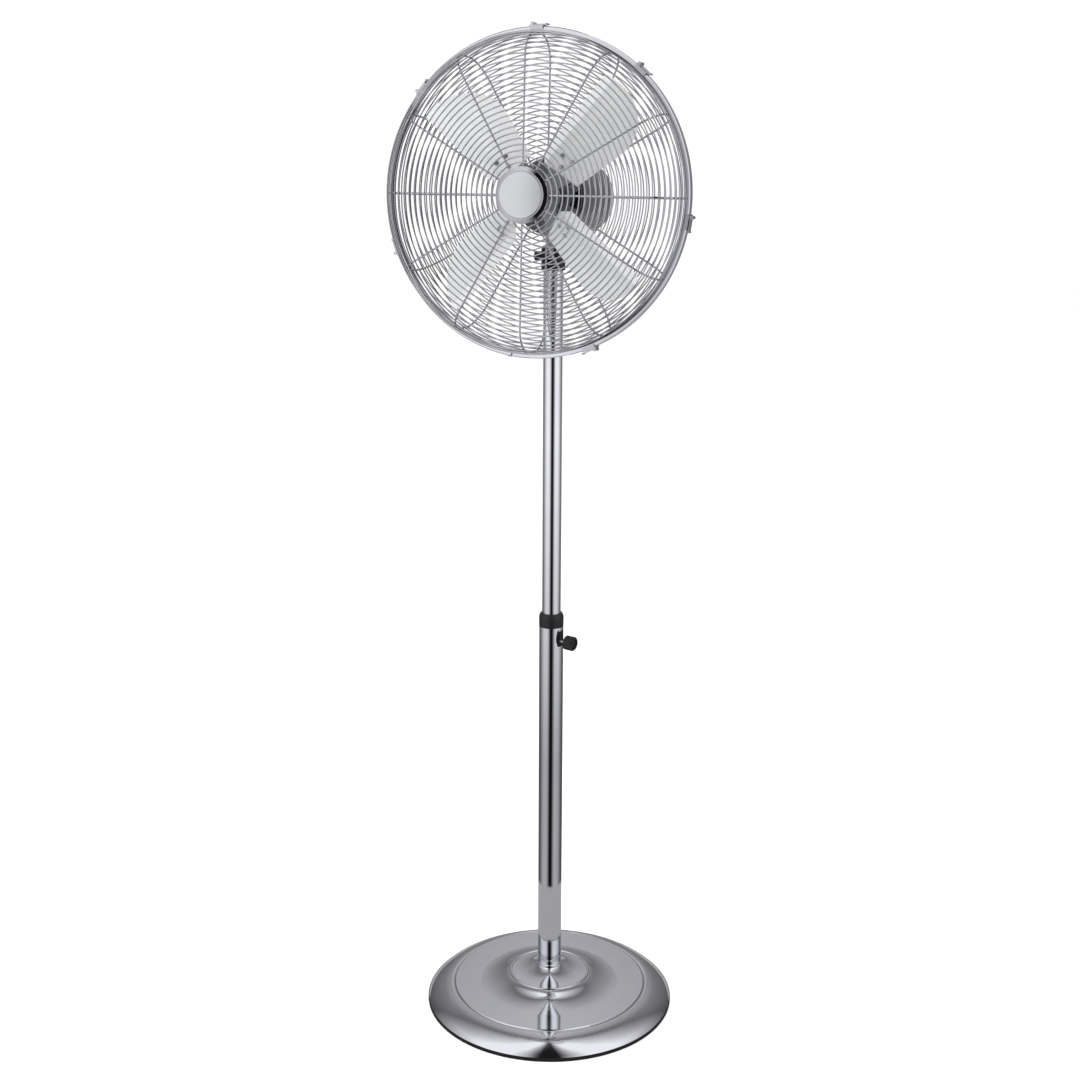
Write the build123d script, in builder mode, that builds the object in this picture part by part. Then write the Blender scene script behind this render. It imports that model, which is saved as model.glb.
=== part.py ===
"""Pedestal fan with a wire cage, a tilting and oscillating head and a telescopic pole.

The part's frame is in millimetres, +Z up, with its origin on the floor under the pole's axis.
The head blows towards -Y. What belongs to the head is drawn on planes of the head itself:
local X to the fan's right, local Y up and local Z forward along the fan's axis.
"""

import os
from math import atan2, cos, degrees, pi, radians, sin, sqrt

from build123d import *

os.makedirs("parts", exist_ok=True)

# ---------------------------------------------------------------- driving dimensions

# base
base_radius = 201.0
base_sheet = 1.5
flange_radius = 22.0
flange_top = 66.0
base_top = 60.5
bead_radius = 64.0
bead_crest = 47.3
seal_lip = 0.6

# pole
lower_tube_radius = 19.25
upper_tube_radius = 14.75
tube_wall = 1.5
collar_bottom = 646.6
collar_top = 668.5
slide_clearance = 0.05
height_knob_z = 624.4
height_knob_angle = -16.0
window_z = 628.6
window_height = 25.0
window_width = 16.0
upper_tube_foot = 565.0
upper_tube_top = 1208.0

# neck
tilt_axis_z = 1220.0
head_tilt = 2.8
neck_radius = 18.0
neck_bottom = 1200.0
neck_top = 1233.0
tongue_width = 13.0
tilt_bolt_radius = 3.0
pivot_radius = 5.0
yoke_cup_radius = 10.0
yoke_cup_top = 30.0
pivot_foot = 15.0

# head: the fan's axis seen from the tilt axis
head_side = 12.0
fan_rise = 86.0
rim_reach = 110.0

# cage
cage_radius = 227.5
band_sheet = 1.2
band_width = 14.0
ring_wire = 1.0
ring_sides = 10
strut_wire = 1.3
edge_wire = 2.0
edge_wire_height = 3.6
ring_pitch = 8.0
strut_count = 12
cage_depth = 48.0
shoulder_radius = 36.0
strut_foot_radius = 219.0
first_ring_radius = 44.0
first_rear_ring = 56.0
strut_end = 2.4
weld = 0.15

# motor
motor_radius = 55.0
motor_front = -57.0
motor_back = -192.0
housing_sheet = 1.2
shaft_radius = 4.0
grille_screw_radius = 43.0
grille_screw_angle = 70.0

# fan blades
blade_count = 4
blade_tip_radius = 195.0
blade_root_radius = 47.0
blade_angle = 49.5
blade_sheet = 1.0
lip_edge = -25.0
lip_fold = -13.0
lip_z = 19.0
blade_pitch = 35.0
root_edge = 34.0
tip_edge = 51.0
widest_radius = 120.0

# rim clips, counted anticlockwise from the fan's right
clip_angles = [90.0, 48.0, -8.0, -67.0, 200.0, 140.0]
band_joint_angle = -97.0

# ---------------------------------------------------------------- planes of the head

tilt = radians(head_tilt)
forward = Vector(0, -cos(tilt), sin(tilt))
yoke_plane = Plane(origin=(0, 0, tilt_axis_z), x_dir=(1, 0, 0), z_dir=forward)
fan_origin = yoke_plane.from_local_coords(Vector(head_side, fan_rise, rim_reach))
fan_plane = Plane(origin=fan_origin, x_dir=(1, 0, 0), z_dir=forward)
fan_axis = Axis(fan_origin, forward)
head_up = Axis((0, 0, 0), yoke_plane.y_dir)
head_ahead = Axis((0, 0, 0), forward)


def fan_at(z, x=0.0, y=0.0):
    """Plane across the fan's axis, z in front of the rim's middle."""
    return Plane(origin=fan_plane.from_local_coords(Vector(x, y, z)), x_dir=(1, 0, 0), z_dir=forward)


def section_at(angle):
    """Plane through the fan's axis: X runs out from the axis and Y runs forward."""
    outwards = fan_plane.x_dir * cos(radians(angle)) + fan_plane.y_dir * sin(radians(angle))
    return Plane(origin=fan_plane.origin, x_dir=outwards, z_dir=outwards.cross(forward))


def head_floor_at(y, x=0.0, z=0.0):
    """Plane across the oscillation axis at height y over the tilt axis: X right, Y backward."""
    origin = yoke_plane.from_local_coords(Vector(x, y, z))
    return Plane(origin=origin, x_dir=(1, 0, 0), z_dir=yoke_plane.y_dir)


def finish(builder, name):
    """Label a finished piece and write its file."""
    builder.part.label = name
    export_step(builder.part, f"parts/{name}.step")


def outward_plane(angle, height, distance):
    """Plane beside the pole whose Z points away from the pole at the angle."""
    away = Vector(cos(radians(angle)), sin(radians(angle)), 0)
    return Plane(origin=away * distance + Vector(0, 0, height), x_dir=(0, 0, 1), z_dir=away)


# ---------------------------------------------------------------- base

# Spun dish: rounded foot, groove, flat annulus, hollow rise to a bead, and a hollow cone.
dish_points = [
    (base_radius, 6.0),
    (0.9 * base_radius, 21.5),
    (0.815 * base_radius, 28.0),
]
groove_radius = 0.79 * base_radius
dish_rise = [
    (0.56 * base_radius, 28.0),
    (0.46 * base_radius, 32.0),
    (0.37 * base_radius, 41.0),
    (bead_radius + 2.2, 45.4),
]
cone_points = [
    (bead_radius - 2.0, 46.0),
    (0.2 * base_radius, 50.0),
    (flange_radius + 3.0, 57.5),
    (flange_radius - 1.0, base_top),
]

with BuildPart() as base_shell:
    with BuildSketch(Plane.XZ):
        with BuildLine():
            edge = Spline(*dish_points, tangents=[(-0.75, 1.0), (-1.0, 0.15)])
            groove = ThreePointArc(edge @ 1, (groove_radius + 1.0, 26.6), (groove_radius - 3.0, 28.6))
            Line(groove @ 1, dish_rise[0])
            rise = Spline(*dish_rise, tangents=[(-1.0, 0.05), (-1.0, 0.3)])
            ThreePointArc(rise @ 1, (bead_radius, bead_crest), cone_points[0])
            cone = Spline(*cone_points, tangents=[(-1.0, 0.12), (-1.0, 1.1)])
            across = Line(cone @ 1, (8.0, base_top))
            down = Line(across @ 1, (8.0, base_top - base_sheet))
            under_top = Line(down @ 1, (flange_radius - 2.0, base_top - base_sheet))
            under_cone = Line(under_top @ 1, (0.2 * base_radius, 50.0 - 1.3 * base_sheet))
            under_bead = Line(under_cone @ 1, (bead_radius, 46.0 - base_sheet))
            under_rise = Line(under_bead @ 1, (0.46 * base_radius, 32.0 - 1.6 * base_sheet))
            under_flat = Line(under_rise @ 1, (0.56 * base_radius, 28.0 - 1.3 * base_sheet))
            under_groove = Line(under_flat @ 1, (groove_radius, 26.0 - base_sheet))
            under_edge = Line(under_groove @ 1, (0.88 * base_radius, 23.5 - 1.6 * base_sheet))
            foot_in = Line(under_edge @ 1, (base_radius - 1.6 * base_sheet, 5.0))
            foot = Line(foot_in @ 1, (base_radius, 5.0))
            Line(foot @ 1, edge @ 0)
        make_face()
    revolve(axis=Axis.Z)
finish(base_shell, "base_shell")

with BuildPart() as base_edge_seal:
    with BuildSketch(Plane.XZ):
        with BuildLine():
            Polyline(
                (base_radius - 9.0, 0.0),
                (base_radius - 0.2, 0.0),
                (base_radius + seal_lip, 1.0),
                (base_radius + seal_lip, 5.6),
                (base_radius + 0.2, 6.6),
                (base_radius + 0.1, 4.9),
                (base_radius - 4.5, 4.9),
                (base_radius - 9.0, 3.0),
                close=True,
            )
        make_face()
    revolve(axis=Axis.Z)
finish(base_edge_seal, "base_edge_seal")

# Cast ring bonded under the shell, which keeps the stand from tipping.
weight_inner = 0.38 * base_radius
weight_outer = 0.87 * base_radius
with BuildPart() as base_weight:
    with BuildSketch(Plane.XZ):
        with BuildLine():
            Polyline(
                (weight_inner, 19.5),
                (0.55 * base_radius, 19.5),
                (0.78 * base_radius, 18.5),
                (weight_outer, 15.0),
                (weight_outer, 20.6),
                (0.78 * base_radius, 24.2),
                (0.55 * base_radius, 25.8),
                (weight_inner, 25.8),
                close=True,
            )
        make_face()
    revolve(axis=Axis.Z)
finish(base_weight, "base_weight")

with BuildPart() as base_flange:
    with BuildSketch(Plane.XZ):
        with BuildLine():
            Polyline(
                (lower_tube_radius + slide_clearance, 60.6),
                (flange_radius, 60.6),
                (flange_radius + 0.6, 61.6),
                (flange_radius, 63.4),
                (flange_radius - 1.4, 64.4),
                (flange_radius - 1.6, flange_top),
                (lower_tube_radius + slide_clearance, flange_top),
                close=True,
            )
        make_face()
    revolve(axis=Axis.Z)
finish(base_flange, "base_flange")

# ---------------------------------------------------------------- pole

tube_bore = lower_tube_radius - tube_wall
with BuildPart() as lower_tube:
    with BuildSketch(Plane.XY.offset(60.6)):
        Circle(lower_tube_radius)
        Circle(tube_bore, mode=Mode.SUBTRACT)
    extrude(amount=collar_bottom - 60.6)
    with BuildSketch(outward_plane(height_knob_angle, window_z, tube_bore - 4.0)):
        RectangleRounded(window_height, window_width, 3.0)
    extrude(amount=10.0, mode=Mode.SUBTRACT)
finish(lower_tube, "lower_tube")

with BuildPart() as tube_plug:
    with BuildSketch(Plane.XY.offset(60.7)):
        Circle(tube_bore)
        Circle(5.1, mode=Mode.SUBTRACT)
    extrude(amount=30.0)
finish(tube_plug, "tube_plug")

washer_top = 58.9
bolt_radius = 5.0
with BuildPart() as base_bolt:
    with BuildSketch(Plane.XY.offset(washer_top - 9.5)):
        RegularPolygon(9.2, 6)
    extrude(amount=6.9)
    with BuildSketch(Plane.XY.offset(washer_top - 2.6)):
        Circle(bolt_radius)
    extrude(amount=30.0)
    chamfer(base_bolt.faces().sort_by(Axis.Z)[-1].edges(), 0.8)
finish(base_bolt, "base_bolt")

with BuildPart() as base_washer:
    with BuildSketch(Plane.XY.offset(washer_top - 2.5)):
        Circle(17.0)
        Circle(bolt_radius + 0.3, mode=Mode.SUBTRACT)
    extrude(amount=2.5)
finish(base_washer, "base_washer")

# The collar is one moulding: a cap on the tube's mouth and a liner down its bore.
liner_bottom = 600.0
liner_bore = upper_tube_radius + slide_clearance
with BuildPart() as tube_collar:
    with BuildSketch(Plane.XZ):
        with BuildLine():
            liner_line = Polyline(
                (liner_bore, liner_bottom),
                (tube_bore, liner_bottom),
                (tube_bore, collar_bottom + 0.05),
                (lower_tube_radius + 0.1, collar_bottom + 0.05),
                (lower_tube_radius + 0.2, collar_top - 9.0),
            )
            crown = ThreePointArc(
                liner_line @ 1,
                (lower_tube_radius - 0.9, collar_top - 2.5),
                (lower_tube_radius - 2.4, collar_top),
            )
            Polyline(crown @ 1, (liner_bore, collar_top), (liner_bore, liner_bottom))
        make_face()
    revolve(axis=Axis.Z)
    with BuildSketch(outward_plane(height_knob_angle, height_knob_z, upper_tube_radius - 4.0)):
        Circle(3.1)
    extrude(amount=12.0, mode=Mode.SUBTRACT)
finish(tube_collar, "tube_collar")

with BuildPart() as height_screw:
    with BuildSketch(outward_plane(height_knob_angle, height_knob_z, upper_tube_radius + 0.05)):
        Circle(3.0)
    extrude(amount=20.0)
finish(height_screw, "height_screw")

knob_length = 13.5
knob_radius = 11.4
knob_start = 30.0
with BuildPart() as height_knob:
    with BuildSketch(outward_plane(height_knob_angle, height_knob_z, knob_start)):
        Circle(knob_radius)
        with PolarLocations(knob_radius + 0.9, 18):
            Circle(1.5, mode=Mode.SUBTRACT)
    extrude(amount=knob_length)
    with BuildSketch(outward_plane(height_knob_angle, height_knob_z, knob_start - 2.0)):
        Circle(5.5)
    extrude(amount=2.0)
    with BuildSketch(outward_plane(height_knob_angle, height_knob_z, knob_start + knob_length - 1.2)):
        Circle(knob_radius - 3.0)
    extrude(amount=2.0, mode=Mode.SUBTRACT)
    with BuildSketch(outward_plane(height_knob_angle, height_knob_z, knob_start - 3.0)):
        Circle(3.0)
    extrude(amount=10.0, mode=Mode.SUBTRACT)
finish(height_knob, "height_knob")

upper_bore = upper_tube_radius - 1.2
with BuildPart() as upper_tube:
    with BuildSketch(Plane.XY.offset(upper_tube_foot)):
        Circle(upper_tube_radius)
        Circle(upper_bore, mode=Mode.SUBTRACT)
    extrude(amount=upper_tube_top - upper_tube_foot)
finish(upper_tube, "upper_tube")

# Slide bush pressed on the foot of the upper tube, which keeps it straight in the lower tube.
with BuildPart() as mast_foot:
    with BuildSketch(Plane.XY.offset(upper_tube_foot - 4.0)):
        Circle(tube_bore - slide_clearance)
        Circle(upper_bore - 2.0, mode=Mode.SUBTRACT)
    extrude(amount=3.9)
    with BuildSketch(Plane.XY.offset(upper_tube_foot - 4.0)):
        Circle(upper_bore)
        Circle(upper_bore - 2.0, mode=Mode.SUBTRACT)
    extrude(amount=24.0)
    with BuildSketch(Plane.XY.offset(upper_tube_foot - 0.1)):
        Circle(tube_bore - slide_clearance)
        Circle(upper_tube_radius, mode=Mode.SUBTRACT)
    extrude(amount=18.0)
finish(mast_foot, "mast_foot")

# ---------------------------------------------------------------- neck

fork_floor = tilt_axis_z - 10.0
with BuildPart() as neck_socket:
    with BuildSketch(Plane.XY.offset(neck_bottom)):
        Circle(neck_radius)
    extrude(amount=neck_top - neck_bottom)
    fillet(neck_socket.faces().sort_by(Axis.Z)[-1].edges(), 2.5)
    fillet(neck_socket.faces().sort_by(Axis.Z)[0].edges(), 1.0)
    with BuildSketch(Plane.XY.offset(neck_bottom - 1.0)):
        Circle(upper_tube_radius)
    extrude(amount=upper_tube_top - neck_bottom + 1.0, mode=Mode.SUBTRACT)
    with BuildSketch(Plane.XY.offset(upper_tube_top - 45.0)):
        Circle(upper_bore)
        Circle(upper_bore - 3.0, mode=Mode.SUBTRACT)
    extrude(amount=45.2)
    with BuildSketch(Plane.XY.offset(fork_floor)):
        Rectangle(tongue_width + 0.8, 3.0 * neck_radius)
    extrude(amount=neck_top - fork_floor + 1.0, mode=Mode.SUBTRACT)
    with BuildSketch(Plane.YZ.offset(-neck_radius - 1.0)):
        with Locations((0, tilt_axis_z)):
            Circle(tilt_bolt_radius + 0.05)
    extrude(amount=2.0 * neck_radius + 2.0, mode=Mode.SUBTRACT)
finish(neck_socket, "neck_socket")

with BuildPart() as tilt_bolt:
    with BuildSketch(Plane.YZ.offset(-neck_radius - 6.0)):
        with Locations((0, tilt_axis_z)):
            Circle(tilt_bolt_radius)
    extrude(amount=2.0 * neck_radius + 10.0)
finish(tilt_bolt, "tilt_bolt")

with BuildPart() as tilt_knob:
    with BuildSketch(Plane.YZ.offset(-neck_radius - 10.5)):
        with Locations((0, tilt_axis_z)):
            Circle(7.0)
            with PolarLocations(7.5, 12):
                Circle(0.9, mode=Mode.SUBTRACT)
    extrude(amount=10.0)
    with BuildSketch(Plane.YZ.offset(-neck_radius - 6.0)):
        with Locations((0, tilt_axis_z)):
            Circle(tilt_bolt_radius)
    extrude(amount=8.0, mode=Mode.SUBTRACT)
finish(tilt_knob, "tilt_knob")

with BuildPart() as tilt_nut:
    with BuildSketch(Plane.YZ.offset(neck_radius + 0.2)):
        with Locations((0, tilt_axis_z)):
            RegularPolygon(5.6, 6)
            Circle(tilt_bolt_radius + 0.05, mode=Mode.SUBTRACT)
    extrude(amount=3.4)
finish(tilt_nut, "tilt_nut")

# The yoke's tongue swings in the fork, and its cup carries the head's pivot post.
link_pin_x = 16.0
link_layer = 22.5
link_sheet = 2.5
cup_bottom = 18.5
tongue_side = Plane(
    origin=(-tongue_width / 2, 0, tilt_axis_z),
    x_dir=forward * -1,
    z_dir=(1, 0, 0),
)
with BuildPart() as tilt_yoke:
    with BuildSketch(tongue_side):
        Circle(9.0)
        with Locations((0, cup_bottom / 2 + 1.0)):
            Rectangle(18.0, cup_bottom + 2.0)
    extrude(amount=tongue_width)
    with BuildSketch(head_floor_at(cup_bottom)):
        Circle(yoke_cup_radius)
    extrude(amount=yoke_cup_top - cup_bottom)
    with BuildSketch(head_floor_at(cup_bottom)):
        with Locations((link_pin_x / 2, 0)):
            Rectangle(link_pin_x, 9.0)
        with Locations((link_pin_x, 0)):
            Circle(4.5)
    extrude(amount=link_layer - 0.4 - cup_bottom)
    with BuildSketch(head_floor_at(cup_bottom)):
        with Locations((link_pin_x, 0)):
            Circle(2.5)
    extrude(amount=link_layer + link_sheet + 1.0 - cup_bottom)
    with BuildSketch(head_floor_at(pivot_foot - 0.5)):
        Circle(pivot_radius + 0.05)
    extrude(amount=20.0, mode=Mode.SUBTRACT)
    with BuildSketch(Plane.YZ.offset(-tongue_width)):
        with Locations((0, tilt_axis_z)):
            Circle(tilt_bolt_radius + 0.05)
    extrude(amount=2.0 * tongue_width, mode=Mode.SUBTRACT)
finish(tilt_yoke, "tilt_yoke")

# ---------------------------------------------------------------- oscillation drive

gear_back = 38.0
crank_x = 16.0
crank_throw = 10.0
link_x = crank_x + crank_throw - link_pin_x
link_length = sqrt(link_x**2 + gear_back**2)
link_angle = degrees(atan2(gear_back, link_x))
with BuildPart() as osc_link:
    with BuildSketch(head_floor_at(link_layer, x=link_pin_x)):
        with Locations(Rotation(0, 0, link_angle)):
            with Locations((link_length / 2, 0)):
                SlotCenterToCenter(link_length, 8.0)
            Circle(2.55, mode=Mode.SUBTRACT)
            with Locations((link_length, 0)):
                Circle(2.55, mode=Mode.SUBTRACT)
    extrude(amount=link_sheet)
finish(osc_link, "osc_link")

wheel_x = -3.0
wheel_radius = 10.6
wheel_teeth = 24
pinion_radius = 4.4
pinion_teeth = 12
crank_gear_radius = 14.2
crank_teeth = 36
gear_floor = 58.0
wheel_stem_top = 104.0


def toothed(radius, teeth, depth):
    """Cut tooth gaps round a gear blank in the current sketch."""
    gap = pi * radius / teeth
    with PolarLocations(radius, teeth):
        Rectangle(2.0 * depth, 0.5 * gap + 0.4, mode=Mode.SUBTRACT)


with BuildPart() as worm_wheel:
    with BuildSketch(head_floor_at(fan_rise - 3.0, x=wheel_x, z=-gear_back)):
        Circle(wheel_radius)
        toothed(wheel_radius, wheel_teeth, 1.2)
    extrude(amount=6.0)
    with BuildSketch(head_floor_at(gear_floor + 4.0, x=wheel_x, z=-gear_back)):
        Circle(pinion_radius)
        toothed(pinion_radius, pinion_teeth, 0.9)
    extrude(amount=fan_rise - 3.0 - gear_floor - 4.0)
    with BuildSketch(head_floor_at(gear_floor - 3.0, x=wheel_x, z=-gear_back)):
        Circle(2.5)
    extrude(amount=wheel_stem_top - gear_floor + 3.0)
finish(worm_wheel, "worm_wheel")

with BuildPart() as crank_gear:
    with BuildSketch(head_floor_at(gear_floor + 4.0, x=crank_x, z=-gear_back)):
        Circle(crank_gear_radius)
        toothed(crank_gear_radius, crank_teeth, 1.2)
    extrude(amount=5.0)
    with BuildSketch(head_floor_at(link_layer + link_sheet + 3.0, x=crank_x, z=-gear_back)):
        Circle(3.5)
    extrude(amount=gear_floor + 4.0 - link_layer - link_sheet - 3.0)
    with BuildSketch(head_floor_at(link_layer + link_sheet + 1.4, x=crank_x, z=-gear_back)):
        Circle(crank_throw + 3.5)
    extrude(amount=3.0)
    with BuildSketch(head_floor_at(link_layer + link_sheet + 0.4, x=crank_x + crank_throw, z=-gear_back)):
        Circle(2.5)
    extrude(amount=1.5)
finish(crank_gear, "crank_gear")

# Cast frame: a foot over the pivot, and a box round the gears behind the stator.
foot_bottom = 37.5
foot_sheet = 5.5
box_front = -20.0
box_back = -56.5
box_left = -18.0
box_right = 34.0
box_x = (box_left + box_right) / 2
box_z = (box_front + box_back) / 2
box_wall = 3.0
with BuildPart() as gear_case:
    with BuildSketch(head_floor_at(gear_floor - 4.0, x=box_x, z=box_z)):
        Rectangle(box_right - box_left, box_front - box_back)
    extrude(amount=46.0)
    with BuildSketch(head_floor_at(gear_floor, x=box_x, z=box_z)):
        Rectangle(box_right - box_left - 2 * box_wall, box_front - box_back - 2 * box_wall)
    extrude(amount=38.0, mode=Mode.SUBTRACT)
    with BuildSketch(head_floor_at(foot_bottom, x=3.0, z=-19.0)):
        Rectangle(24.0, 54.0)
    extrude(amount=foot_sheet)
    with BuildSketch(head_floor_at(foot_bottom, x=3.0, z=box_front - 3.0)):
        Rectangle(24.0, 6.0)
    extrude(amount=gear_floor - foot_bottom)
    with BuildSketch(head_floor_at(30.0)):
        Circle(pivot_radius)
    extrude(amount=20.0, mode=Mode.SUBTRACT)
    with BuildSketch(head_floor_at(gear_floor - 5.0, x=wheel_x, z=-gear_back)):
        Circle(2.55)
    extrude(amount=6.0, mode=Mode.SUBTRACT)
    with BuildSketch(head_floor_at(gear_floor + 30.0, x=wheel_x, z=-gear_back)):
        Circle(2.55)
    extrude(amount=20.0, mode=Mode.SUBTRACT)
    with BuildSketch(head_floor_at(30.0, x=crank_x, z=-gear_back)):
        Circle(3.55)
    extrude(amount=gear_floor - 29.0, mode=Mode.SUBTRACT)
    with BuildSketch(fan_at(-rim_reach + box_front - box_wall - 1.0)):
        Circle(8.0)
    extrude(amount=box_wall + 2.0, mode=Mode.SUBTRACT)
    with BuildSketch(fan_at(-rim_reach + box_back - 1.0)):
        Circle(shaft_radius + 0.05)
    extrude(amount=box_wall + 2.0, mode=Mode.SUBTRACT)
finish(gear_case, "gear_case")

with BuildPart() as pivot_post:
    with BuildSketch(head_floor_at(pivot_foot)):
        Circle(pivot_radius)
    extrude(amount=foot_bottom + foot_sheet - 1.0 - pivot_foot)
finish(pivot_post, "pivot_post")

with BuildPart() as osc_knob:
    with BuildSketch(head_floor_at(fan_rise + motor_radius + 6.0, x=wheel_x, z=-gear_back)):
        Circle(8.0)
    extrude(amount=9.0)
    fillet(osc_knob.edges().sort_by(head_up)[-1], 2.5)
    with BuildSketch(head_floor_at(wheel_stem_top + 2.0, x=wheel_x, z=-gear_back)):
        Circle(2.5)
    extrude(amount=fan_rise + motor_radius + 6.5 - wheel_stem_top - 2.0)
finish(osc_knob, "osc_knob")

# ---------------------------------------------------------------- motor

stator_front = -72.0
stator_back = -104.0
plate_sheet = 3.0
screw_x = grille_screw_radius * cos(radians(grille_screw_angle))
screw_y = grille_screw_radius * sin(radians(grille_screw_angle))
screw_sites = [(screw_x, screw_y), (-screw_x, screw_y), (-screw_x, -screw_y), (screw_x, -screw_y)]
with BuildPart() as motor_front_plate:
    with BuildSketch(fan_at(motor_front - plate_sheet)):
        Circle(motor_radius)
    extrude(amount=plate_sheet)
    fillet(motor_front_plate.edges().sort_by(head_ahead)[-1], 1.5)
    with BuildSketch(fan_at(motor_front - plate_sheet - 4.0)):
        Circle(motor_radius - housing_sheet - 0.1)
        Circle(motor_radius - housing_sheet - 3.0, mode=Mode.SUBTRACT)
    extrude(amount=4.0)
    with BuildSketch(fan_at(motor_front)):
        with Locations(*screw_sites):
            Circle(5.0)
    extrude(amount=6.2)
    with BuildSketch(fan_at(motor_front - 9.0)):
        Circle(12.0)
    extrude(amount=9.0)
    with BuildSketch(fan_at(motor_front - 10.0)):
        Circle(8.0)
    extrude(amount=6.0, mode=Mode.SUBTRACT)
    with BuildSketch(fan_at(motor_front - 5.0)):
        Circle(shaft_radius + 1.0)
    extrude(amount=8.0, mode=Mode.SUBTRACT)
    with BuildSketch(fan_at(motor_front - plate_sheet - 1.0)):
        with Locations(*screw_sites):
            Circle(2.0)
    extrude(amount=12.0, mode=Mode.SUBTRACT)
finish(motor_front_plate, "motor_front_plate")

dial_x = 0.0
dial_y = -32.0
gland_x = 22.0
gland_y = -32.0
vent_slots = 16
with BuildPart() as motor_housing:
    with BuildSketch(fan_at(motor_back)):
        Circle(motor_radius)
    extrude(amount=motor_front - plate_sheet - motor_back)
    fillet(motor_housing.edges().sort_by(head_ahead)[0], 9.0)
    offset(amount=-housing_sheet, openings=motor_housing.faces().sort_by(head_ahead)[-1])
    with BuildSketch(fan_at(motor_back - 1.0)):
        with PolarLocations(0, vent_slots):
            with Locations((15.0, 0)):
                SlotOverall(10.0, 2.4)
        with Locations((dial_x, dial_y)):
            Circle(3.5)
        with Locations((gland_x, gland_y)):
            Circle(4.5)
    extrude(amount=4.0, mode=Mode.SUBTRACT)
    with BuildSketch(head_floor_at(20.0)):
        Circle(8.5)
    extrude(amount=20.0, mode=Mode.SUBTRACT)
    with BuildSketch(head_floor_at(20.0, x=crank_x, z=-gear_back)):
        Circle(6.0)
    extrude(amount=20.0, mode=Mode.SUBTRACT)
    with BuildSketch(head_floor_at(fan_rise + 30.0, x=wheel_x, z=-gear_back)):
        Circle(3.2)
    extrude(amount=40.0, mode=Mode.SUBTRACT)
finish(motor_housing, "motor_housing")

with BuildPart() as stator_core:
    with BuildSketch(fan_at(stator_back)):
        Circle(42.0)
        Circle(24.5, mode=Mode.SUBTRACT)
        with PolarLocations(29.0, 16):
            Circle(2.2, mode=Mode.SUBTRACT)
    extrude(amount=stator_front - stator_back)
finish(stator_core, "stator_core")

with BuildPart() as stator_windings:
    for end in (stator_front, stator_back - 8.0):
        with BuildSketch(fan_at(end)):
            Circle(38.0)
            Circle(25.5, mode=Mode.SUBTRACT)
        extrude(amount=8.0)
    coil_edges = stator_windings.edges().sort_by(head_ahead)
    for coil_end in (coil_edges[0:2], coil_edges[-2:]):
        fillet(coil_end, 2.5)
finish(stator_windings, "stator_windings")

bearing_width = 5.0
rear_bearing_z = box_front - rim_reach - bearing_width + 1.0
with BuildPart() as motor_bearings:
    for seat in (motor_front - 4.0 - bearing_width, rear_bearing_z):
        with BuildSketch(fan_at(seat)):
            Circle(8.0)
            Circle(shaft_radius + 0.05, mode=Mode.SUBTRACT)
        extrude(amount=bearing_width)
finish(motor_bearings, "motor_bearings")

with BuildPart() as rotor_core:
    with BuildSketch(fan_at(stator_back)):
        Circle(24.0)
        Circle(shaft_radius, mode=Mode.SUBTRACT)
    extrude(amount=stator_front - stator_back)
finish(rotor_core, "rotor_core")

shaft_back = box_back - rim_reach + 1.0
worm_pitch = 3.0
with BuildPart() as motor_shaft:
    with BuildSketch(fan_at(shaft_back)):
        Circle(shaft_radius)
    extrude(amount=21.0 - shaft_back)
    for turn in range(5):
        with BuildSketch(fan_at(-gear_back - rim_reach - 6.7 + turn * worm_pitch)):
            Circle(shaft_radius + 0.1)
            Circle(shaft_radius - 0.8, mode=Mode.SUBTRACT)
        extrude(amount=worm_pitch / 2, mode=Mode.SUBTRACT)
finish(motor_shaft, "motor_shaft")

with BuildPart() as switch_body:
    with BuildSketch(fan_at(motor_back + housing_sheet)):
        with Locations((dial_x, dial_y)):
            RectangleRounded(24.0, 20.0, 2.0)
    extrude(amount=14.0)
    with BuildSketch(fan_at(motor_back + housing_sheet - 0.5)):
        with Locations((dial_x, dial_y)):
            Circle(3.1)
    extrude(amount=8.0, mode=Mode.SUBTRACT)
finish(switch_body, "switch_body")

with BuildPart() as speed_dial:
    with BuildSketch(fan_at(motor_back - 11.0)):
        with Locations((dial_x, dial_y)):
            Circle(10.0)
            with PolarLocations(10.8, 20):
                Circle(1.2, mode=Mode.SUBTRACT)
    extrude(amount=10.4)
    with BuildSketch(fan_at(motor_back - 12.5)):
        with Locations((dial_x, dial_y + 4.0)):
            Rectangle(2.0, 9.0)
    extrude(amount=1.5)
    with BuildSketch(fan_at(motor_back - 0.6)):
        with Locations((dial_x, dial_y)):
            Circle(3.0)
    extrude(amount=7.0)
finish(speed_dial, "speed_dial")

with BuildPart() as cable_gland:
    with BuildSketch(fan_at(motor_back - 7.0)):
        with Locations((gland_x, gland_y)):
            Circle(5.5)
    extrude(amount=6.9)
    with BuildSketch(fan_at(motor_back - 0.1)):
        with Locations((gland_x, gland_y)):
            Circle(4.4)
    extrude(amount=5.0)
    fillet(cable_gland.edges().sort_by(head_ahead)[0], 1.5)
    with BuildSketch(fan_at(motor_back - 8.0)):
        with Locations((gland_x, gland_y)):
            Circle(3.3)
    extrude(amount=15.0, mode=Mode.SUBTRACT)
finish(cable_gland, "cable_gland")

# ---------------------------------------------------------------- cage

wire_plane = cage_depth + strut_wire + ring_wire - weld
corner_centre = strut_foot_radius - shoulder_radius
plate_face = cage_depth + strut_wire - weld
rear_plate_radius = 52.0
front_plate_radius = 38.5
edge_wire_radius = strut_foot_radius + strut_wire + edge_wire - weld


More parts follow.
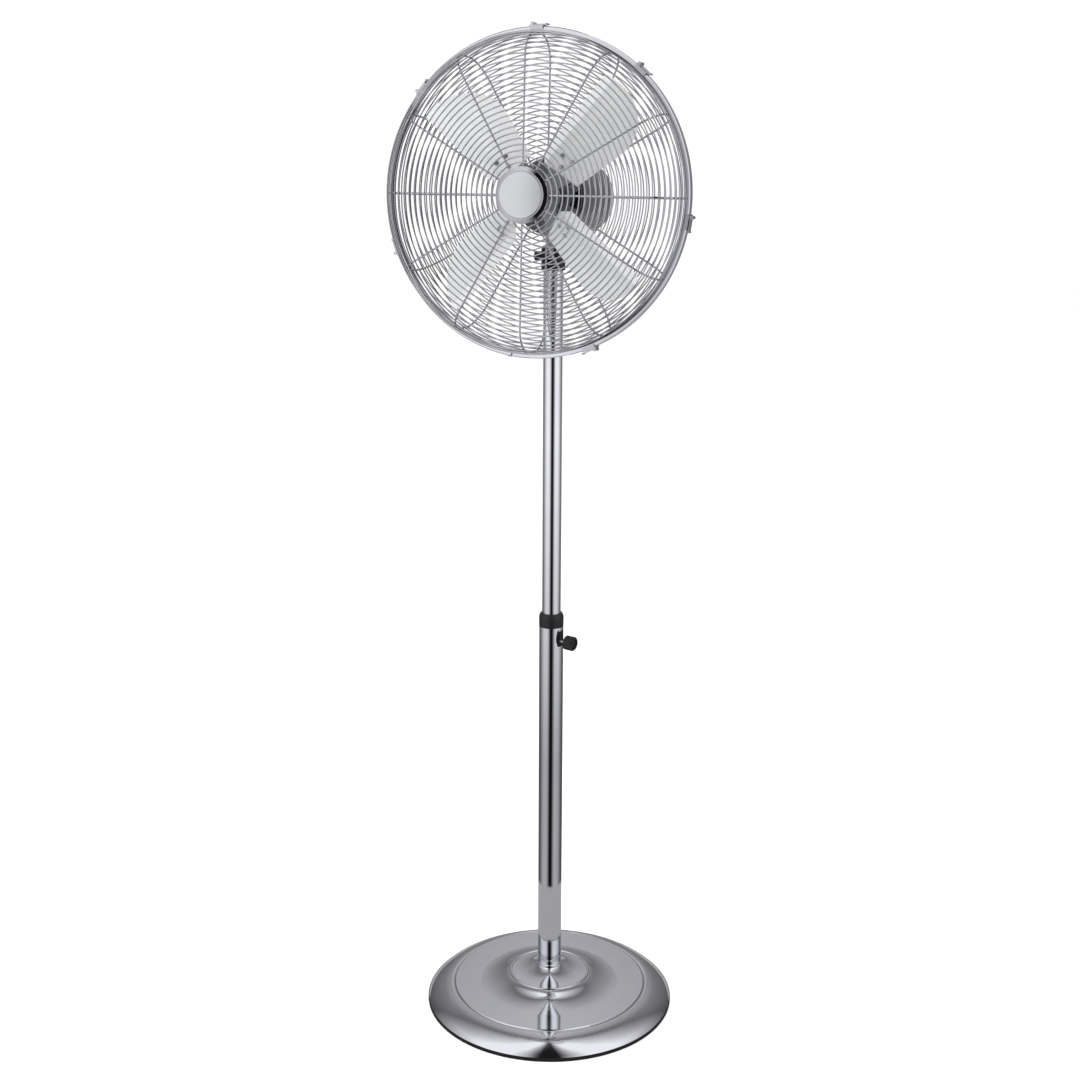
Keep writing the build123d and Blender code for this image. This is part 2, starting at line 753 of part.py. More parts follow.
def ring_sites(first):
    """Radius and height of each welded ring, out over the flat and round the shoulder."""
    sites = []
    radius = first
    while radius <= corner_centre:
        sites.append((radius, wire_plane))
        radius += ring_pitch
    reach = shoulder_radius + wire_plane - cage_depth
    quarter = pi / 2 * reach
    travel = radius - corner_centre
    while travel < quarter + ring_pitch / 4:
        turned = min(travel, quarter) / reach
        drop = max(0.0, travel - quarter)
        radius = corner_centre + reach * sin(turned)
        sites.append((radius, cage_depth - shoulder_radius + reach * cos(turned) - drop))
        travel += ring_pitch
    return sites


for label, side, first in (("front_rings", 1, first_ring_radius), ("rear_rings", -1, first_rear_ring)):
    with BuildPart() as rings:
        with BuildSketch(section_at(0)):
            for ring_radius, ring_z in ring_sites(first):
                with Locations((ring_radius, side * ring_z)):
                    RegularPolygon(ring_wire, ring_sides)
        revolve(axis=fan_axis)
    finish(rings, label)

# The thicker wire that closes the edge of each grille, gripped by the rim band.
with BuildPart() as edge_wires:
    with BuildSketch(section_at(0)):
        with Locations((edge_wire_radius, edge_wire_height), (edge_wire_radius, -edge_wire_height)):
            Circle(edge_wire)
    revolve(axis=fan_axis)
finish(edge_wires, "edge_wires")

for label, side, start in (
    ("front_struts", 1, front_plate_radius - 8.0),
    ("rear_struts", -1, rear_plate_radius - 5.0),
):
    with BuildPart() as struts:
        for index in range(strut_count):
            with BuildLine(section_at(index * 360 / strut_count)) as route:
                FilletPolyline(
                    (start, side * cage_depth),
                    (strut_foot_radius, side * cage_depth),
                    (strut_foot_radius, side * strut_end),
                    radius=shoulder_radius,
                )
            with BuildSketch(Plane(origin=route.line @ 0, z_dir=route.line % 0)):
                Circle(strut_wire)
            sweep()
    finish(struts, label)

with BuildPart() as rear_centre_plate:
    with BuildSketch(fan_at(-plate_face - 1.6)):
        Circle(rear_plate_radius)
        Circle(20.0, mode=Mode.SUBTRACT)
        with Locations(*screw_sites):
            Circle(2.2, mode=Mode.SUBTRACT)
    extrude(amount=1.6)
finish(rear_centre_plate, "rear_centre_plate")

with BuildPart() as head_screws:
    with BuildSketch(fan_at(-plate_face + 0.05)):
        with Locations(*screw_sites):
            Circle(3.6)
    extrude(amount=2.4)
    with BuildSketch(fan_at(motor_front - 2.0)):
        with Locations(*screw_sites):
            Circle(2.0)
    extrude(amount=2.1 - plate_face - motor_front)
finish(head_screws, "head_screws")

with BuildPart() as front_centre_plate:
    with BuildSketch(fan_at(plate_face)):
        Circle(front_plate_radius)
    extrude(amount=1.4)
finish(front_centre_plate, "front_centre_plate")

badge_base = plate_face + 1.5
badge_radius = 32.2
dome_radius = badge_radius - 1.6
dome_rise = 1.6
dome_sphere = (dome_radius**2 + dome_rise**2) / (2 * dome_rise)
dome_middle = dome_sphere - sqrt(dome_sphere**2 - (dome_radius / 2) ** 2)
with BuildPart() as badge_ring:
    with BuildSketch(section_at(0)):
        with BuildLine():
            Polyline(
                (badge_radius + 0.2, badge_base),
                (front_plate_radius + 0.4, badge_base),
                (front_plate_radius, badge_base + 1.6),
                (badge_radius + 1.2, badge_base + 4.2),
                (badge_radius + 0.2, badge_base + 4.2),
                close=True,
            )
        make_face()
    revolve(axis=fan_axis)
finish(badge_ring, "badge_ring")

with BuildPart() as hub_badge:
    with BuildSketch(section_at(0)):
        with BuildLine():
            foot = Line((0, badge_base), (badge_radius, badge_base))
            side_wall = Line(foot @ 1, (badge_radius, badge_base + 4.4))
            lip = ThreePointArc(
                side_wall @ 1,
                (badge_radius - 0.5, badge_base + 5.4),
                (dome_radius, badge_base + 5.8),
            )
            dome = ThreePointArc(
                lip @ 1,
                (dome_radius / 2, badge_base + 5.8 + dome_rise - dome_middle),
                (0, badge_base + 5.8 + dome_rise),
            )
            Line(dome @ 1, foot @ 0)
        make_face()
    revolve(axis=fan_axis)
finish(hub_badge, "hub_badge")

# ---------------------------------------------------------------- rim band and clips

lip_inner = strut_foot_radius + strut_wire + 0.7
half_band = band_width / 2
with BuildPart() as rim_band:
    with BuildSketch(section_at(band_joint_angle)):
        with BuildLine():
            Polyline(
                (lip_inner, half_band),
                (cage_radius - 1.0, half_band),
                (cage_radius, half_band - 1.0),
                (cage_radius, 1.0 - half_band),
                (cage_radius - 1.0, -half_band),
                (lip_inner, -half_band),
                (lip_inner, 1.1 - half_band),
                (cage_radius - band_sheet, 1.1 - half_band),
                (cage_radius - band_sheet, half_band - 1.1),
                (lip_inner, half_band - 1.1),
                close=True,
            )
        make_face()
    revolve(axis=fan_axis, revolution_arc=359.5)
finish(rim_band, "rim_band")


def rim_plane(angle, distance, z=0.0):
    """Plane touching the rim at the angle: X anticlockwise along the rim, Z outward."""
    outwards = fan_plane.x_dir * cos(radians(angle)) + fan_plane.y_dir * sin(radians(angle))
    origin = fan_plane.origin + outwards * distance + forward * z
    return Plane(origin=origin, x_dir=forward.cross(outwards), z_dir=outwards)


with BuildPart() as rim_screw:
    with BuildSketch(rim_plane(band_joint_angle - 1.5, cage_radius - 2.2)):
        Circle(1.9)
    extrude(amount=3.0)
    with BuildSketch(rim_plane(band_joint_angle - 1.5, cage_radius + 0.02)):
        Circle(3.4)
    extrude(amount=1.6)
finish(rim_screw, "rim_screw")

clip_width = 11.0
clip_pin_radius = 1.3
clip_pin_height = 3.8
clip_pin_along = 7.0
saddle_length = 22.0
saddle_sheet = 1.0
saddle_lift = 0.3
saddle_half = half_band + 0.6
with BuildPart() as clip_brackets:
    for angle in clip_angles:
        with BuildSketch(rim_plane(angle, cage_radius + saddle_lift)):
            RectangleRounded(saddle_length, 2 * (saddle_half + saddle_sheet), 1.5)
        extrude(amount=saddle_sheet)
        for flank in (saddle_half, -saddle_half - saddle_sheet):
            with BuildSketch(rim_plane(angle, cage_radius - 4.5, flank + saddle_sheet / 2)):
                Rectangle(saddle_length - 3.0, saddle_sheet)
            extrude(amount=4.5 + saddle_lift + saddle_sheet / 2)
        pin_end = rim_plane(angle, cage_radius + clip_pin_height, -clip_width / 2 - 1.6)
        ear = Plane(origin=pin_end.origin, x_dir=pin_end.x_dir, z_dir=forward)
        for rise in (0.0, clip_width + 2.2):
            with BuildSketch(ear.offset(rise)):
                with Locations((clip_pin_along, 0)):
                    Circle(2.4)
                with Locations((clip_pin_along, 1.5)):
                    Rectangle(4.8, 3.0)
            extrude(amount=saddle_sheet)
        with BuildSketch(ear):
            with Locations((clip_pin_along, 0)):
                Circle(clip_pin_radius)
        extrude(amount=clip_width + 3.2)
finish(clip_brackets, "clip_brackets")

for number, angle in enumerate(clip_angles, start=1):
    with BuildPart() as clip:
        side = rim_plane(angle, cage_radius + clip_pin_height, -clip_width / 2)
        profile = Plane(origin=side.origin, x_dir=side.x_dir, z_dir=forward)
        with BuildSketch(profile):
            with Locations((clip_pin_along, 0)):
                Circle(2.2)
            with Locations((-3.0, 1.2)):
                Rectangle(20.0, 1.2)
            with Locations((clip_pin_along - 1.0, 0.9)):
                Rectangle(2.0, 1.8)
            with Locations((-13.0, 0.8)):
                Circle(1.3)
            with Locations((clip_pin_along, 0)):
                Circle(clip_pin_radius + 0.08, mode=Mode.SUBTRACT)
        extrude(amount=clip_width)
    finish(clip, f"rim_clip_{number}")

# ---------------------------------------------------------------- fan wheel

pitch = radians(blade_pitch)
sheet_half = blade_sheet / 2
camber = 3.0


def chord_point(across, lift):
    """Point of a blade's section, lift in front of the straight chord from the fold."""
    run = across - lip_fold
    return (across + lift * sin(pitch), lip_z - run * sin(pitch) / cos(pitch) + lift * cos(pitch))


def blade_frame(turned, distance):
    """Plane across a blade: X clockwise round the fan, Y forward, Z towards the hub."""
    outwards = fan_plane.x_dir * cos(radians(turned)) + fan_plane.y_dir * sin(radians(turned))
    return Plane(
        origin=fan_plane.origin + outwards * distance,
        x_dir=outwards.cross(forward),
        z_dir=outwards * -1,
    )


def blade_outline_plane(turned):
    """Plane behind the blades: X along the blade and Y anticlockwise."""
    outwards = fan_plane.x_dir * cos(radians(turned)) + fan_plane.y_dir * sin(radians(turned))
    return Plane(origin=fan_plane.origin - forward * 60.0, x_dir=outwards, z_dir=forward)


def curved_strip(start, end, level, thickness):
    """Closed section of a cambered sheet from start to end across the blade."""
    middle = (start + end) / 2
    front = ThreePointArc(
        chord_point(start, level + thickness),
        chord_point(middle, level + thickness - camber),
        chord_point(end, level + thickness),
    )
    Line(front @ 1, chord_point(end, level))
    back = ThreePointArc(
        chord_point(end, level),
        chord_point(middle, level - camber),
        chord_point(start, level),
    )
    Line(back @ 1, front @ 0)


for number in range(blade_count):
    turned = blade_angle + number * 360 / blade_count
    with BuildPart() as blade:
        with BuildSketch(blade_frame(turned, blade_tip_radius + 1.0)):
            with BuildLine():
                curved_strip(lip_fold, tip_edge + 2.0, -sheet_half, blade_sheet)
            make_face()
            with Locations(((lip_edge + lip_fold) / 2 + 0.3, lip_z)):
                Rectangle(lip_fold - lip_edge + 1.0, blade_sheet)
        extrude(amount=blade_tip_radius + 1.0 - blade_root_radius)
        with BuildSketch(blade_outline_plane(turned)):
            with BuildLine():
                tip_start = (sqrt(blade_tip_radius**2 - 20.0**2), 20.0)
                tip_end = (sqrt(blade_tip_radius**2 - 8.0**2), 8.0)
                ThreePointArc(tip_start, (sqrt(blade_tip_radius**2 - 14.0**2), 14.0), tip_end)
                leading = Line((blade_root_radius, -root_edge), (widest_radius, -tip_edge))
                TangentArc(leading @ 1, tip_end, tangent=leading % 1)
                Polyline(
                    leading @ 0,
                    (blade_root_radius, -lip_fold),
                    (blade_root_radius + 14.0, -lip_edge),
                    (tip_start[0] - 5.0, -lip_edge),
                    tip_start,
                )
            make_face()
        extrude(amount=120.0, mode=Mode.INTERSECT)
    finish(blade, f"blade_{number + 1}")

arm_sheet = 1.6
arm_tip = 80.0
with BuildPart() as blade_hub:
    with BuildSketch(fan_at(-13.0)):
        Circle(15.0)
    extrude(amount=25.0)
    for number in range(blade_count):
        turned = blade_angle + number * 360 / blade_count
        with BuildPart(mode=Mode.PRIVATE) as arm:
            with BuildSketch(blade_frame(turned, arm_tip)):
                with BuildLine():
                    curved_strip(lip_fold, tip_edge + 2.0, -sheet_half - arm_sheet - 0.1, arm_sheet)
                make_face()
            extrude(amount=arm_tip - 8.0)
            with BuildSketch(blade_outline_plane(turned)):
                with BuildLine():
                    Polyline(
                        (8.0, 0.0),
                        (24.0, 0.0),
                        (50.0, 7.0),
                        (arm_tip - 8.0, 6.0),
                        (arm_tip, 0.0),
                        (arm_tip, -16.0),
                        (arm_tip - 8.0, -22.0),
                        (50.0, -26.0),
                        (24.0, -16.0),
                        (8.0, -12.0),
                        close=True,
                    )
                make_face()
            extrude(amount=120.0, mode=Mode.INTERSECT)
        add(arm.part)
    with BuildSketch(fan_at(-40.0)):
        Circle(shaft_radius)
    extrude(amount=80.0, mode=Mode.SUBTRACT)
finish(blade_hub, "blade_hub")

with BuildPart() as blade_rivets:
    for number in range(blade_count):
        turned = blade_angle + number * 360 / blade_count
        for distance, across in ((56.0, 6.0), (70.0, -2.0), (70.0, 12.0)):
            section = blade_frame(turned, distance)
            run = (across - lip_fold) / (tip_edge + 2.0 - lip_fold)
            spot = chord_point(across, -4 * camber * run * (1 - run))
            outside = section.x_dir * sin(pitch) + forward * cos(pitch)
            seat = section.from_local_coords(Vector(spot[0], spot[1], 0))
            with BuildSketch(Plane(origin=seat - outside * 3.4, z_dir=outside)):
                Circle(2.0)
            extrude(amount=4.6)
            with BuildSketch(Plane(origin=seat + outside * 0.45, z_dir=outside)):
                Circle(3.4)
            extrude(amount=1.2)
finish(blade_rivets, "blade_rivets")

with BuildPart() as spinner_nut:
    with BuildSketch(fan_at(12.1)):
        Circle(16.0)
        with PolarLocations(17.0, 10):
            Circle(2.4, mode=Mode.SUBTRACT)
    extrude(amount=12.0)
    with BuildSketch(fan_at(12.0)):
        Circle(shaft_radius)
    extrude(amount=9.2, mode=Mode.SUBTRACT)
finish(spinner_nut, "spinner_nut")
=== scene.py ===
"""Looks of a pedestal fan with a wire cage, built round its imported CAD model."""

import math

import bmesh
import bpy
from mathutils import Matrix, Vector

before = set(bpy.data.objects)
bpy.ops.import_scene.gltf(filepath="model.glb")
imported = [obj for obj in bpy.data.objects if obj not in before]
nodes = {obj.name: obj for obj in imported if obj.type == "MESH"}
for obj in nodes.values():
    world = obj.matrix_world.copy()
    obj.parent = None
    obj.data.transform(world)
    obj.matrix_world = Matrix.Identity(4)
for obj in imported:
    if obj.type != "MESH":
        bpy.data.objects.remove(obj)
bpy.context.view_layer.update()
scene = bpy.context.scene


# ------------------------------------------------------------------ frame of the head

HEAD_TILT = math.radians(2.8)
FORWARD = Vector((0.0, -math.cos(HEAD_TILT), math.sin(HEAD_TILT)))
UP = Vector((0.0, math.sin(HEAD_TILT), math.cos(HEAD_TILT)))


# ------------------------------------------------------------------ material graphs


class Graph:
    """A material's node tree with short calls for the patterns used here."""

    def __init__(self, name):
        self.material = bpy.data.materials.new(name)
        self.material.use_nodes = True
        self.tree = self.material.node_tree
        self.shader = self.tree.nodes["Principled BSDF"]
        self.coords = self.add("ShaderNodeTexCoord").outputs["Object"]

    def add(self, kind, **settings):
        node = self.tree.nodes.new(kind)
        for key, value in settings.items():
            setattr(node, key, value)
        return node

    def join(self, source, target):
        self.tree.links.new(source, target)

    def scaled(self, scale, offset=(0.0, 0.0, 0.0), turn=(0.0, 0.0, 0.0)):
        mapping = self.add("ShaderNodeMapping")
        mapping.inputs["Location"].default_value = offset
        mapping.inputs["Rotation"].default_value = turn
        mapping.inputs["Scale"].default_value = scale
        self.join(self.coords, mapping.inputs["Vector"])
        return mapping.outputs["Vector"]

    def noise(self, vector, scale, detail=2.0, rough=0.5):
        node = self.add("ShaderNodeTexNoise")
        node.inputs["Scale"].default_value = scale
        node.inputs["Detail"].default_value = detail
        node.inputs["Roughness"].default_value = rough
        self.join(vector, node.inputs["Vector"])
        return node.outputs["Fac"]

    def blend(self, fac, first, second, low=0.35, high=0.65):
        ramp = self.add("ShaderNodeValToRGB")
        ramp.color_ramp.elements[0].position = low
        ramp.color_ramp.elements[0].color = (*first, 1.0)
        ramp.color_ramp.elements[1].position = high
        ramp.color_ramp.elements[1].color = (*second, 1.0)
        self.join(fac, ramp.inputs["Fac"])
        return ramp.outputs["Color"]

    def spread(self, fac, low, high, start=0.3, end=0.7):
        node = self.add("ShaderNodeMapRange")
        node.inputs["From Min"].default_value = start
        node.inputs["From Max"].default_value = end
        node.inputs["To Min"].default_value = low
        node.inputs["To Max"].default_value = high
        self.join(fac, node.inputs["Value"])
        return node.outputs["Result"]

    def bump(self, height, distance, strength=1.0, under=None):
        node = self.add("ShaderNodeBump")
        node.inputs["Strength"].default_value = strength
        node.inputs["Distance"].default_value = distance
        self.join(height, node.inputs["Height"])
        if under is not None:
            self.join(under, node.inputs["Normal"])
        return node.outputs["Normal"]

    def math(self, operation, first, second):
        node = self.add("ShaderNodeMath", operation=operation)
        for socket, value in zip(node.inputs, (first, second)):
            if isinstance(value, (int, float)):
                socket.default_value = value
            else:
                self.join(value, socket)
        return node.outputs["Value"]

    def finish(self, colour, roughness, normal=None, metallic=0.0, **sockets):
        self.join(colour, self.shader.inputs["Base Color"])
        self.join(roughness, self.shader.inputs["Roughness"])
        if normal is not None:
            self.join(normal, self.shader.inputs["Normal"])
        self.shader.inputs["Metallic"].default_value = metallic
        for name, value in sockets.items():
            self.shader.inputs[name.replace("_", " ")].default_value = value
        return self.material


def chrome(name, bright=0.86, polish=0.045, smear=0.05):
    """Plated metal: a mirror with faint smears, orange peel and pinpoint pits."""
    graph = Graph(name)
    cloud = graph.noise(graph.coords, 28.0, 5.0, 0.6)
    streak = graph.noise(graph.scaled((1.0, 1.0, 0.16)), 150.0, 3.0)
    deep = (bright * 0.93, bright * 0.935, bright)
    pale = (bright * 0.96, bright * 0.965, bright)
    tint = graph.blend(cloud, deep, pale)
    dull = graph.math("MULTIPLY", cloud, streak)
    rough = graph.spread(dull, polish, polish + smear, 0.15, 0.45)
    peel = graph.bump(graph.noise(graph.coords, 420.0, 2.0), 0.00003, 0.35)
    return graph.finish(tint, rough, peel, metallic=1.0)


def brushed(name, scale, tint, low, high, depth, metallic=1.0, anisotropy=0.5):
    """Metal brushed one way; the scale is small along the strokes."""
    graph = Graph(name)
    strokes = graph.noise(graph.scaled(scale), 1.0, 4.0, 0.65)
    cloud = graph.noise(graph.coords, 22.0, 4.0)
    colour = graph.blend(strokes, tuple(0.9 * part for part in tint), tint)
    mixed = graph.math("MULTIPLY", graph.math("ADD", strokes, cloud), 0.5)
    rough = graph.spread(mixed, low, high)
    normal = graph.bump(strokes, depth, 0.5)
    return graph.finish(colour, rough, normal, metallic=metallic, Anisotropic=anisotropy)


def moulded(name, tint, low, high, grain=900.0, depth=0.00004, metallic=0.0, **sockets):
    """Moulded plastic or rubber with a fine spark-eroded grain and soft handling marks."""
    graph = Graph(name)
    fine = graph.noise(graph.coords, grain, 3.0, 0.6)
    cloud = graph.noise(graph.coords, 60.0, 4.0)
    bright = tuple(min(1.0, 1.35 * part + 0.004) for part in tint)
    colour = graph.blend(cloud, tint, bright)
    rough = graph.spread(cloud, low, high)
    normal = graph.bump(fine, depth, 0.7)
    return graph.finish(colour, rough, normal, metallic=metallic, **sockets)


def cast(name, tint, low, high, metallic):
    """Cast metal with a sandy skin."""
    graph = Graph(name)
    sand = graph.noise(graph.coords, 700.0, 4.0, 0.7)
    lumps = graph.noise(graph.coords, 90.0, 3.0)
    colour = graph.blend(sand, tuple(0.7 * part for part in tint), tint)
    rough = graph.spread(lumps, low, high)
    normal = graph.bump(sand, 0.0002, 0.8, graph.bump(lumps, 0.0008, 0.4))
    return graph.finish(colour, rough, normal, metallic=metallic)


def stacked(name, axis, pitch, tint, gap, low, high, metallic):
    """Laminations or wire turns: bands repeated along an axis."""
    graph = Graph(name)
    dot = graph.add("ShaderNodeVectorMath", operation="DOT_PRODUCT")
    graph.join(graph.coords, dot.inputs[0])
    dot.inputs[1].default_value = axis
    wave = graph.math("SINE", graph.math("MULTIPLY", dot.outputs["Value"], 2 * math.pi / pitch), 0.0)
    colour = graph.blend(graph.spread(wave, 0.0, 1.0, -1.0, 1.0), gap, tint, 0.1, 0.5)
    rough = graph.spread(graph.noise(graph.coords, 120.0, 3.0), low, high)
    normal = graph.bump(wave, pitch / 8, 0.5)
    return graph.finish(colour, rough, normal, metallic=metallic)


WHITE_METAL = (0.90, 0.905, 0.91)
tube_chrome = chrome("tube_chrome", 0.83, 0.03, 0.05)
rim_chrome = chrome("rim_chrome", 0.74, 0.05, 0.06)
wire_chrome = chrome("wire_chrome", 0.56, 0.05, 0.05)
dark_metal = chrome("dark_metal", 0.28, 0.08, 0.10)
base_chrome = chrome("base_chrome", 0.82, 0.05, 0.05)
badge_steel = brushed("badge_steel", (30.0, 30.0, 2600.0), (0.66, 0.67, 0.69), 0.16, 0.26, 0.00003)
blade_metal = brushed("blade_metal", (500.0, 500.0, 500.0), WHITE_METAL, 0.30, 0.40, 0.000004, metallic=0.35)
zinc = cast("zinc", (0.72, 0.73, 0.75), 0.22, 0.38, 1.0)
cast_alloy = cast("cast_alloy", (0.62, 0.63, 0.65), 0.38, 0.55, 1.0)
cast_iron = cast("cast_iron", (0.14, 0.14, 0.15), 0.6, 0.8, 0.6)
black_plastic = moulded("black_plastic", (0.006, 0.006, 0.007), 0.28, 0.42, Specular_IOR_Level=0.35)
black_gloss = moulded("black_gloss", (0.010, 0.010, 0.011), 0.08, 0.16, depth=0.00001)
rubber = moulded("rubber", (0.006, 0.006, 0.006), 0.6, 0.75, 600.0, 0.0001, Specular_IOR_Level=0.2)
nylon = moulded("nylon", (0.70, 0.69, 0.64), 0.35, 0.5)
SHEET_PITCH = 0.001
WIRE_PITCH = 0.0012
lamination = stacked(
    "lamination", tuple(FORWARD), SHEET_PITCH, (0.42, 0.43, 0.45), (0.10, 0.10, 0.11), 0.35, 0.5, 1.0
)
copper = stacked("copper", tuple(UP), WIRE_PITCH, (0.72, 0.34, 0.16), (0.20, 0.08, 0.04), 0.25, 0.4, 1.0)

FINISHES = {
    tube_chrome: ["lower_tube", "upper_tube", "base_flange"],
    rim_chrome: ["rim_band"],
    wire_chrome: ["front_rings", "rear_rings", "front_struts", "rear_struts", "edge_wires",
                  "front_centre_plate", "rear_centre_plate", "badge_ring", "clip_brackets"]
                 + [f"rim_clip_{n}" for n in range(1, 7)],
    dark_metal: ["motor_housing"],
    base_chrome: ["base_shell"],
    badge_steel: ["hub_badge"],
    blade_metal: ["blade_1", "blade_2", "blade_3", "blade_4"],
    zinc: ["base_bolt", "base_washer", "height_screw", "tilt_bolt", "tilt_nut", "head_screws",
           "rim_screw", "blade_rivets", "motor_shaft", "pivot_post", "osc_link", "motor_bearings"],
    cast_alloy: ["gear_case", "motor_front_plate", "tilt_yoke", "blade_hub"],
    cast_iron: ["base_weight"],
    black_plastic: ["neck_socket", "tube_plug", "tube_collar", "mast_foot", "switch_body", "cable_gland",
                    "height_knob", "tilt_knob", "speed_dial", "osc_knob"],
    black_gloss: ["spinner_nut"],
    rubber: ["base_edge_seal"],
    nylon: ["worm_wheel", "crank_gear"],
    lamination: ["stator_core", "rotor_core"],
    copper: ["stator_windings"],
}
for material, names in FINISHES.items():
    for name in names:
        piece = nodes[name]
        if not piece.material_slots:
            piece.data.materials.append(material)
        for slot in piece.material_slots:
            slot.material = material

# ------------------------------------------------------------------ studio

floor_mesh = bpy.data.meshes.new("studio_floor")
shape = bmesh.new()
HALF_FLOOR = 14.0
corners = [(HALF_FLOOR * x, HALF_FLOOR * y) for x, y in ((-1, -1), (1, -1), (1, 1), (-1, 1))]
shape.faces.new([shape.verts.new((x, y, 0.0)) for x, y in corners])
shape.to_mesh(floor_mesh)
shape.free()
studio_floor = bpy.data.objects.new("studio_floor", floor_mesh)
scene.collection.objects.link(studio_floor)
paper = Graph("floor_paper")
floor_tone = paper.blend(paper.noise(paper.coords, 1.5, 2.0), (0.93, 0.93, 0.93), (0.95, 0.95, 0.95))
floor_mesh.materials.append(
    paper.finish(floor_tone, paper.spread(paper.noise(paper.coords, 3.0), 0.85, 0.95), None, 0.0)
)

# The room is plain white. Round the fan stands a round light tent that only polished metal sees.
# It is the same on both sides: a dark gap where the camera stands, a soft box beside the gap,
# shade on the flank and grey cloth at the back. Its roof carries these on, and its floor is grey.
VIEW_TURN = math.radians(21.21)
world = bpy.data.worlds.new("studio")
scene.world = world
world.use_nodes = True
world.node_tree.nodes["Background"].inputs["Color"].default_value = (1.0, 1.0, 1.0, 1.0)
world.node_tree.nodes["Background"].inputs["Strength"].default_value = 1.08

TENT_RADIUS = 1.05
FLOOR_CARD = 0.42
TENT_TOP = 3.2
TENT_HEM = 0.4
ROOF_RISE = 0.2
TENT_PEAK = 0.002
POLE_GAP = 0.04
CARD_LIFT = 0.0015
TENT_SIDES = 96
FOOT_LEVEL = 0.42
FULL_HEIGHT = 0.75
GAP, SOFT_BOX, SHADE, BACK_CLOTH, GREY_FLOOR = 0.012, 1.05, 0.17, 0.56, 0.42
TENT_SIDE = [(10, GAP), (36, SOFT_BOX), (68, SOFT_BOX), (119, SHADE), (180, BACK_CLOTH)]
TENT_LEVELS = [(-angle, level) for angle, level in reversed(TENT_SIDE)] + TENT_SIDE


def ring_of(mesh, radius, height):
    turns = [2 * math.pi * step / TENT_SIDES for step in range(TENT_SIDES)]
    return [mesh.verts.new((radius * math.cos(t), radius * math.sin(t), height)) for t in turns]


shape = bmesh.new()
rings = [ring_of(shape, radius, height) for radius, height in (
    (POLE_GAP, CARD_LIFT), (FLOOR_CARD, CARD_LIFT), (TENT_RADIUS, CARD_LIFT), (TENT_RADIUS, TENT_HEM),
    (TENT_RADIUS, TENT_TOP), (TENT_PEAK, TENT_TOP + ROOF_RISE),
)]
for band, (low, high) in enumerate(zip(rings, rings[1:])):
    for step in range(TENT_SIDES):
        after = (step + 1) % TENT_SIDES
        face = shape.faces.new((low[step], low[after], high[after], high[step]))
        face.material_index = 1 if band == 0 else 0
tent_mesh = bpy.data.meshes.new("studio_tent")
shape.to_mesh(tent_mesh)
shape.free()
studio_tent = bpy.data.objects.new("studio_tent", tent_mesh)
scene.collection.objects.link(studio_tent)
for kind in ("camera", "diffuse", "shadow", "transmission", "volume_scatter"):
    setattr(studio_tent, "visible_" + kind, False)

cloth = Graph("tent_cloth")
cloth.tree.nodes.remove(cloth.shader)
axes = cloth.add("ShaderNodeSeparateXYZ")
cloth.join(cloth.scaled((1.0, 1.0, 1.0), turn=(0.0, 0.0, -VIEW_TURN)), axes.inputs[0])
bearing = cloth.math("ARCTAN2", axes.outputs["X"], cloth.math("MULTIPLY", axes.outputs["Y"], -1.0))
around = cloth.add("ShaderNodeValToRGB")
elements = around.color_ramp.elements
for index, (angle, level) in enumerate(TENT_LEVELS):
    position = (angle + 180) / 360
    last = index == len(TENT_LEVELS) - 1
    element = elements[0] if index == 0 else elements[-1] if last else elements.new(position)
    element.position = position
    element.color = (level, level, level * 1.02, 1.0)
cloth.join(cloth.spread(bearing, 0.0, 1.0, -math.pi, math.pi), around.inputs["Fac"])
glow = cloth.add("ShaderNodeEmission")
cloth.join(around.outputs["Color"], glow.inputs["Color"])
cloth.join(cloth.spread(axes.outputs["Z"], FOOT_LEVEL, 1.0, 0.0, FULL_HEIGHT), glow.inputs["Strength"])
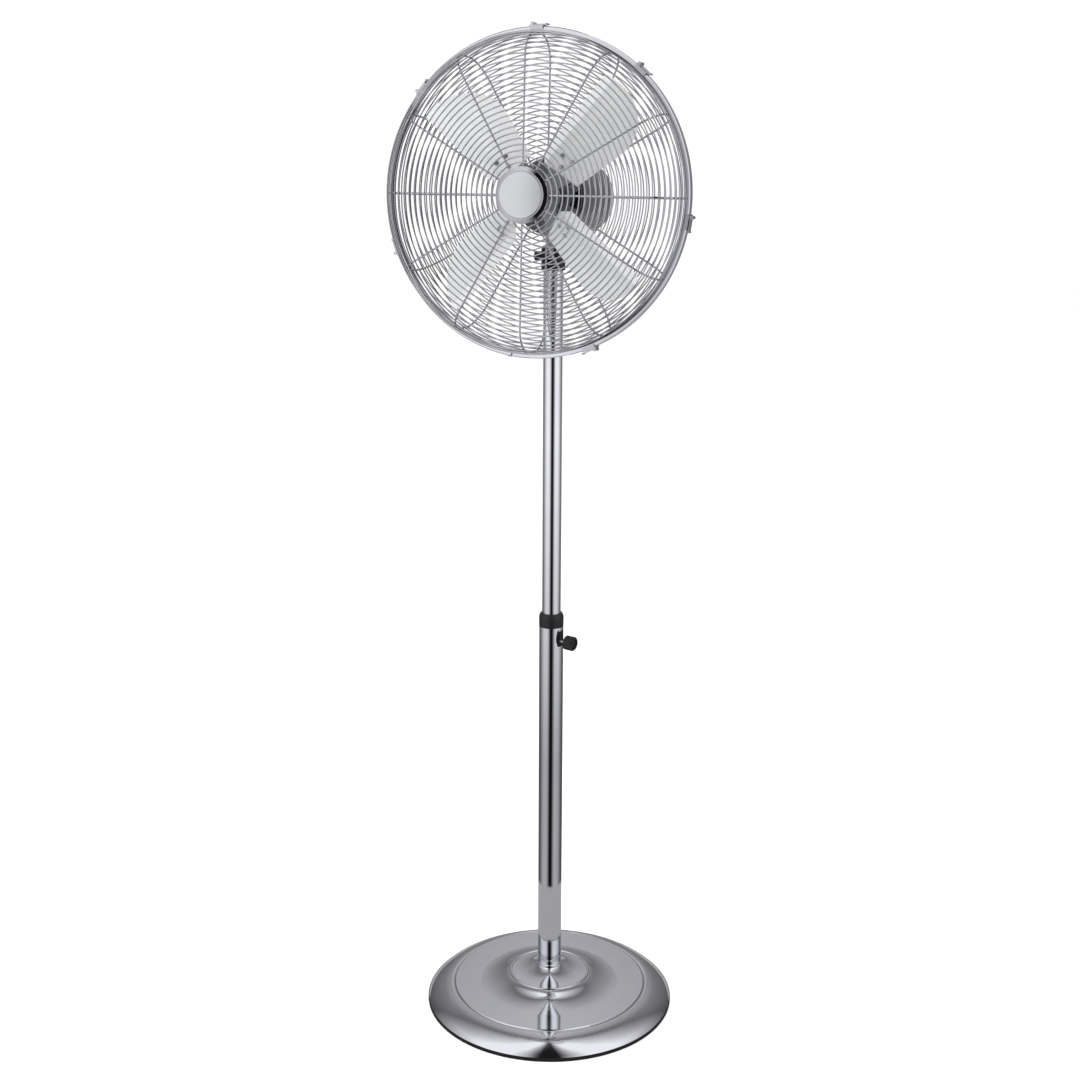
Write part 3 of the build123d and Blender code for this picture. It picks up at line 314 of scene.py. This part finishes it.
cloth.join(glow.outputs["Emission"], cloth.tree.nodes["Material Output"].inputs["Surface"])
tent_mesh.materials.append(cloth.material)
floor_cloth = Graph("tent_floor")
floor_cloth.tree.nodes.remove(floor_cloth.shader)
floor_glow = floor_cloth.add("ShaderNodeEmission")
floor_glow.inputs["Color"].default_value = (GREY_FLOOR, GREY_FLOOR, GREY_FLOOR, 1.0)
floor_cloth.join(floor_glow.outputs["Emission"], floor_cloth.tree.nodes["Material Output"].inputs["Surface"])
tent_mesh.materials.append(floor_cloth.material)


def soft_box(name, place, target, size, power):
    light = bpy.data.lights.new(name, "AREA")
    light.shape = "RECTANGLE"
    light.size = size[0]
    light.size_y = size[1]
    light.energy = power
    lamp = bpy.data.objects.new(name, light)
    lamp.location = place
    lamp.rotation_euler = (Vector(target) - Vector(place)).to_track_quat("-Z", "Y").to_euler()
    scene.collection.objects.link(lamp)
    lamp.visible_glossy = False


soft_box("overhead", (0.6, -0.8, 4.2), (0.0, 0.0, 0.8), (3.0, 3.0), 90.0)
soft_box("left_box", (-3.2, -2.0, 2.2), (0.0, 0.0, 0.9), (1.6, 2.6), 60.0)

# ------------------------------------------------------------------ camera

camera_data = bpy.data.cameras.new("photo_camera")
camera_data.sensor_width = 36.0
camera_data.lens = 52.2
camera = bpy.data.objects.new("photo_camera", camera_data)
scene.collection.objects.link(camera)
scene.camera = camera
PITCH = math.radians(14.413)
ROLL = math.radians(0.22)
back = Vector((
    math.sin(VIEW_TURN) * math.cos(PITCH),
    -math.cos(VIEW_TURN) * math.cos(PITCH),
    math.sin(PITCH),
))
level_right = Vector((math.cos(VIEW_TURN), math.sin(VIEW_TURN), 0.0))
level_up = back.cross(level_right)
right = level_right * math.cos(ROLL) + level_up * math.sin(ROLL)
up = back.cross(right)
camera.matrix_world = Matrix((
    (right.x, up.x, back.x, 0.83485),
    (right.y, up.y, back.y, -2.2019),
    (right.z, up.z, back.z, 1.39055),
    (0.0, 0.0, 0.0, 1.0),
))
scene.view_settings.view_transform = "Standard"
